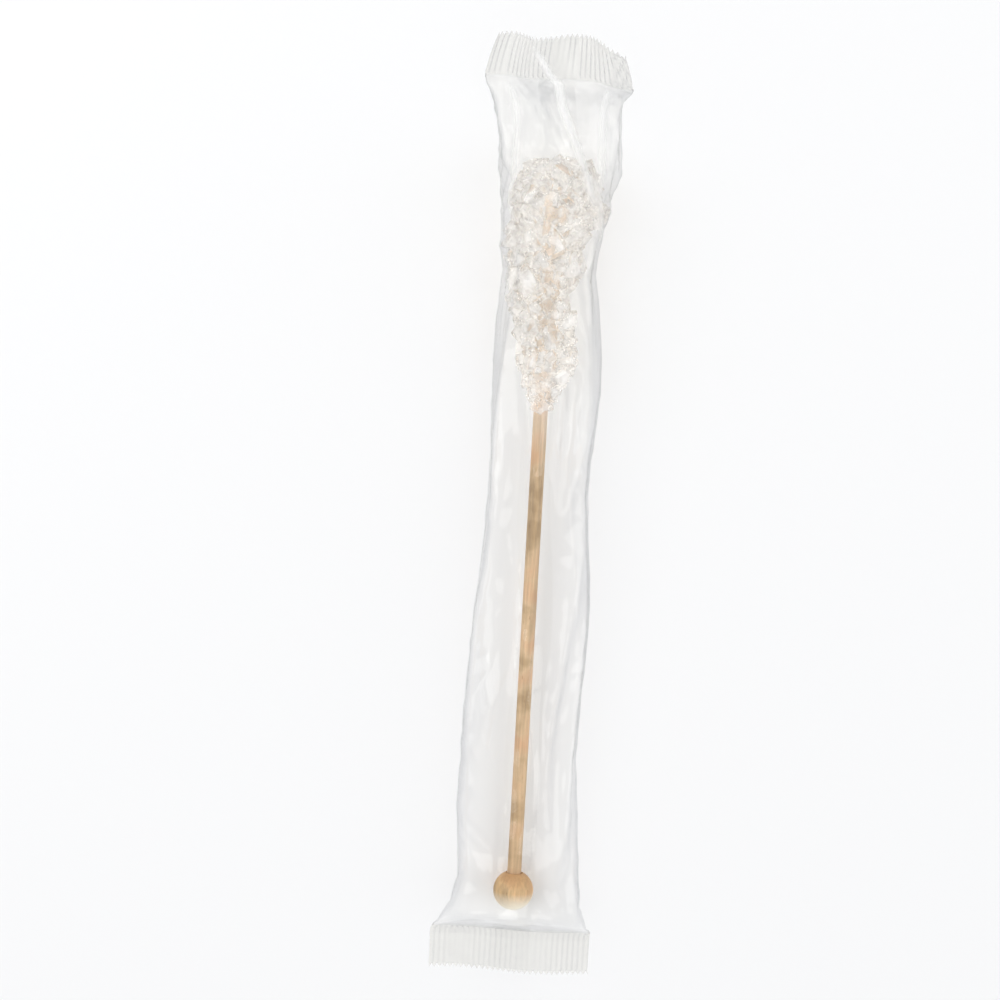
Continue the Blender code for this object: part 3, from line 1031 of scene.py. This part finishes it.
def make_fin(points, material):
    """The back seam: a ribbed strip that lies folded flat against the film's underside."""
    first, last = (round(share * points.shape[1] / LEVELS[-1][1]) for share in FIN_COLUMNS)
    strip = points + FIN_GAP * outward(points)
    strip[..., 2] = np.maximum(strip[..., 2], FLOOR_GAP - FIN_GAP)
    strip = strip[:, first : last + 1].copy()
    strip[::2, :, 2] += FIN_RIB
    rows, columns = strip.shape[:2]
    number = np.arange(rows * columns).reshape(rows, columns)
    quads = np.stack([number[:-1, :-1], number[:-1, 1:], number[1:, 1:], number[1:, :-1]], -1)
    mesh = bpy.data.meshes.new("film_back_seam")
    mesh.from_pydata(strip.reshape(-1, 3).tolist(), [], quads.reshape(-1, 4).tolist())
    return walled(mesh, material, FIN_WALL, "film_back_seam")


# ---------------------------------------------------------------- materials

SUGAR_IOR = 1.54
SUGAR_AT_TIP = (0.87, 0.85, 0.825, 1)
SUGAR_AT_NECK = (0.955, 0.94, 0.92, 1)
SUGAR_LETS_IN = (0.9, 0.89, 0.87, 1)
FILM_FACED = (0.996, 0.996, 0.994, 1)
FILM_EDGE_ON = (0.83, 0.835, 0.85, 1)
FILM_SEALED = (0.968, 0.965, 0.958, 1)  # times the two above
# A white matt film: the seals' own haze, and the highlight painted along the creases.
FILM_HAZE_AND_PAINTED_HIGHLIGHT = (0.95, 0.95, 0.94, 1)
FILM_LETS_IN = (0.996, 0.996, 0.996, 1)
DOWEL_WOOD = (0.665, 0.47, 0.28)
BALL_WOOD = (0.70, 0.47, 0.24)


def sugar_material():
    """Clear crystals with cloudy and frosted patches, paler towards the neck."""
    material, shader = principled("sugar_crystal", (0.935, 0.92, 0.895), 0.06)
    shader.inputs["IOR"].default_value = SUGAR_IOR
    tree = material.node_tree
    place = add_node(tree, "ShaderNodeTexCoord").outputs["Object"]
    clear = map_range(tree, cloudiness(tree, place, 330.0, 3.0), 0.35, 0.62, 0.42, 0.90)
    along = add_node(tree, "ShaderNodeSeparateXYZ", in0=place).outputs["Y"]
    low = map_range(tree, along, candy_high.y, candy_low.y)
    clear = maths(tree, "MULTIPLY_ADD", low, -0.1, clear)
    tree.links.new(clear, shader.inputs["Transmission Weight"])
    sugar = blend(tree, low, SUGAR_AT_TIP, SUGAR_AT_NECK)
    tree.links.new(sugar, shader.inputs["Base Color"])
    rough = map_range(tree, cloudiness(tree, place, 520.0, 2.0), 0.42, 0.68, 0.03, 0.30)
    tree.links.new(rough, shader.inputs["Roughness"])
    grain = cloudiness(tree, place, 1100.0, 3.0)
    bump = add_node(tree, "ShaderNodeBump", Height=grain, Strength=0.15, Distance=0.0003)
    tree.links.new(bump.outputs[0], shader.inputs["Normal"])
    let_light_in(material, shader, SUGAR_LETS_IN)
    return material


def mix_shaders(tree, share, first, second):
    """A shader that is second for that share, and first for the rest."""
    mixed = add_node(tree, "ShaderNodeMixShader", in0=share)
    tree.links.new(first.outputs[0], mixed.inputs[1])
    tree.links.new(second.outputs[0], mixed.inputs[2])
    return mixed


def let_light_in(material, shader, colour, scattered=False):
    """Light reaches what is inside: for lamps' rays, or scattered ones too, it is see-through."""
    tree = material.node_tree
    rays = add_node(tree, "ShaderNodeLightPath").outputs
    through = rays["Is Shadow Ray"]
    if scattered:
        through = maths(tree, "MAXIMUM", through, rays["Is Diffuse Ray"])
    clear = add_node(tree, "ShaderNodeBsdfTransparent", Color=colour)
    mixed = mix_shaders(tree, through, shader, clear)
    tree.links.new(mixed.outputs[0], tree.nodes["Material Output"].inputs["Surface"])


def film_material():
    """Clear film: darker where it turns edge-on, with a highlight painted white along its creases,
    hazy in its seals.
    """
    material, _ = principled("clear_film", (0.9, 0.9, 0.92), 0.3)
    tree = material.node_tree
    facing = add_node(tree, "ShaderNodeLayerWeight", Blend=0.5).outputs["Facing"]
    sealed = add_node(tree, "ShaderNodeAttribute", {"attribute_name": "sealed"}).outputs["Fac"]
    mirrored = maths(tree, "MULTIPLY_ADD", maths(tree, "POWER", facing, 5.0), 0.9, 0.017)
    tint = blend(tree, maths(tree, "POWER", facing, 1.8), FILM_FACED, FILM_EDGE_ON)
    tint = blend(tree, sealed, tint, FILM_SEALED, "MULTIPLY")
    clear = add_node(tree, "ShaderNodeBsdfTransparent", Color=tint)
    rough = maths(tree, "MULTIPLY_ADD", sealed, 0.25, 0.06)
    gloss = add_node(tree, "ShaderNodeBsdfGlossy", Color=(1, 1, 0.99, 1), Roughness=rough)
    film = mix_shaders(tree, mirrored, clear, gloss)
    # White matt film: the seals' own haze, and the highlight painted along the creases.
    haze_and_painted_highlight = mix_shaders(
        tree,
        0.5,
        add_node(tree, "ShaderNodeBsdfDiffuse", Color=FILM_HAZE_AND_PAINTED_HIGHLIGHT),
        add_node(tree, "ShaderNodeBsdfTranslucent", Color=FILM_HAZE_AND_PAINTED_HIGHLIGHT),
    )
    # The creases' highlight is painted as white matt film along their ridges; the seals' haze is
    # the film's own.
    whitened = add_node(tree, "ShaderNodeAttribute", {"attribute_name": "whitened"}).outputs["Fac"]
    white = maths(tree, "MULTIPLY_ADD", sealed, 0.12, maths(tree, "MULTIPLY", whitened, 0.8))
    mixed = mix_shaders(tree, white, film, haze_and_painted_highlight)
    let_light_in(material, mixed, FILM_LETS_IN, scattered=True)
    return material


def ramp(tree, value, *stops):
    """A colour ramp over a value, from (place, colour) stops."""
    node = add_node(tree, "ShaderNodeValToRGB", Fac=value)
    elements = node.color_ramp.elements
    while len(elements) < len(stops):
        elements.new(0.5)
    for element, (place, colour) in zip(elements, stops):
        element.position = place
        element.color = (*colour, 1)
    return node.outputs[0]


def blend(tree, factor, first, second, mode="MIX"):
    """Two colours mixed by a factor."""
    node = tree.nodes.new("ShaderNodeMix")
    node.data_type = "RGBA"
    node.blend_type = mode
    for index, value in ((0, factor), (6, first), (7, second)):
        if isinstance(value, bpy.types.NodeSocket):
            tree.links.new(value, node.inputs[index])
        else:
            node.inputs[index].default_value = value
    return node.outputs[2]


def stretched(tree, place, along):
    """Texture places scaled by a share along the dowel, which draws the texture out."""
    turn, scale = (-tilt, 0, 0), (1, along, 1)
    mapping = add_node(tree, "ShaderNodeMapping", Vector=place, Rotation=turn, Scale=scale)
    return mapping.outputs[0]


def wood_material(name, colour, ends=()):
    """Birch with its grain along the dowel.

    Each of ends is where along Y another colour starts and is full, how much, and the colour.
    """
    material, shader = principled(name, colour, 0.55)
    tree = material.node_tree
    place = add_node(tree, "ShaderNodeTexCoord").outputs["Object"]
    grain = stretched(tree, place, 0.045)
    streaks = cloudiness(tree, grain, 1900.0, 4.0)
    bands = cloudiness(tree, grain, 420.0, 2.0)
    tone = maths(tree, "MULTIPLY", maths(tree, "ADD", bands, streaks), 0.5)
    dark, light = ([factor * c for c in colour] for factor in (0.70, 1.14))
    painted = ramp(tree, tone, (0.36, dark), (0.62, light))
    patch = cloudiness(tree, place, 125.0, 3.0)
    grey, rosy = (0.66, 0.63, 0.56), (1.0, 0.86, 0.84)
    tint = ramp(tree, patch, (0.36, grey), (0.50, (1, 1, 1)), (0.64, rosy))
    painted = blend(tree, 0.85, painted, tint, "MULTIPLY")
    cells = stretched(tree, place, 0.2)
    cells = add_node(tree, "ShaderNodeTexVoronoi", Vector=cells, Scale=1100.0)
    flecks = ramp(tree, cells.outputs[0], (0.05, (0.62, 0.50, 0.38)), (0.13, (1, 1, 1)))
    painted = blend(tree, 0.8, painted, flecks, "MULTIPLY")
    along = add_node(tree, "ShaderNodeSeparateXYZ", in0=place).outputs["Y"]
    for start, full, most, tinge in ends:
        near = map_range(tree, along, start, full)
        uneven = maths(tree, "MULTIPLY", near, maths(tree, "ADD", patch, most - 0.5))
        painted = blend(tree, maths(tree, "MULTIPLY", uneven, most * 1.4), painted, (*tinge, 1))
    tree.links.new(painted, shader.inputs["Base Color"])
    bump = add_node(tree, "ShaderNodeBump", Height=streaks, Strength=0.25, Distance=0.0001)
    tree.links.new(bump.outputs[0], shader.inputs["Normal"])
    return material


def dowel_material():
    """The dowel's wood, paler with fine sugar where the candy has grown, darker to the ball."""
    neck = candy_low.y
    sugared = (neck - 9 * MM, neck + 7 * MM, 0.7, (0.74, 0.65, 0.56))
    # Browner and darker from 60 mm below the neck down to the ball.
    darker_to_ball = (neck - 60 * MM, ball_high.y, 0.5, (0.50, 0.31, 0.15))
    return wood_material("birch", DOWEL_WOOD, [darker_to_ball, sugared])


def ball_material():
    """The ball's wood, with painted shade that browns it round the bore and painted light that
    pales it at the foot.
    """
    middle, top, foot = ball_centre.y, ball_high.y, ball_low.y
    # Painted shade: the upper half darkens to brown towards the bore. Painted light: the lower half
    # pales towards the foot.
    ends = [(middle, top, 0.75, (0.44, 0.24, 0.09)), (middle, foot, 0.95, (0.97, 0.89, 0.73))]
    return wood_material("birch_ball", BALL_WOOD, ends)


# ---------------------------------------------------------------- the scene


def dress(piece, node):
    """Put a piece on the body, in a CAD node's stead."""
    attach(piece, BODY)
    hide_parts(node)


make_camera()
make_studio()
make_floor()
candy = make_candy(sugar_material())
dowel = make_dowel(dowel_material())
ball = make_ball(ball_material())
film_points = film_net(Core([candy, dowel, ball]))
clear_film = film_material()
film = make_film(film_points, clear_film)
seam = make_fin(film_points, clear_film)
dress(candy, "candy")
dress(dowel, "stick")
dress(ball, "ball")
dress(film, "wrapper")
dress(seam, "wrapper")
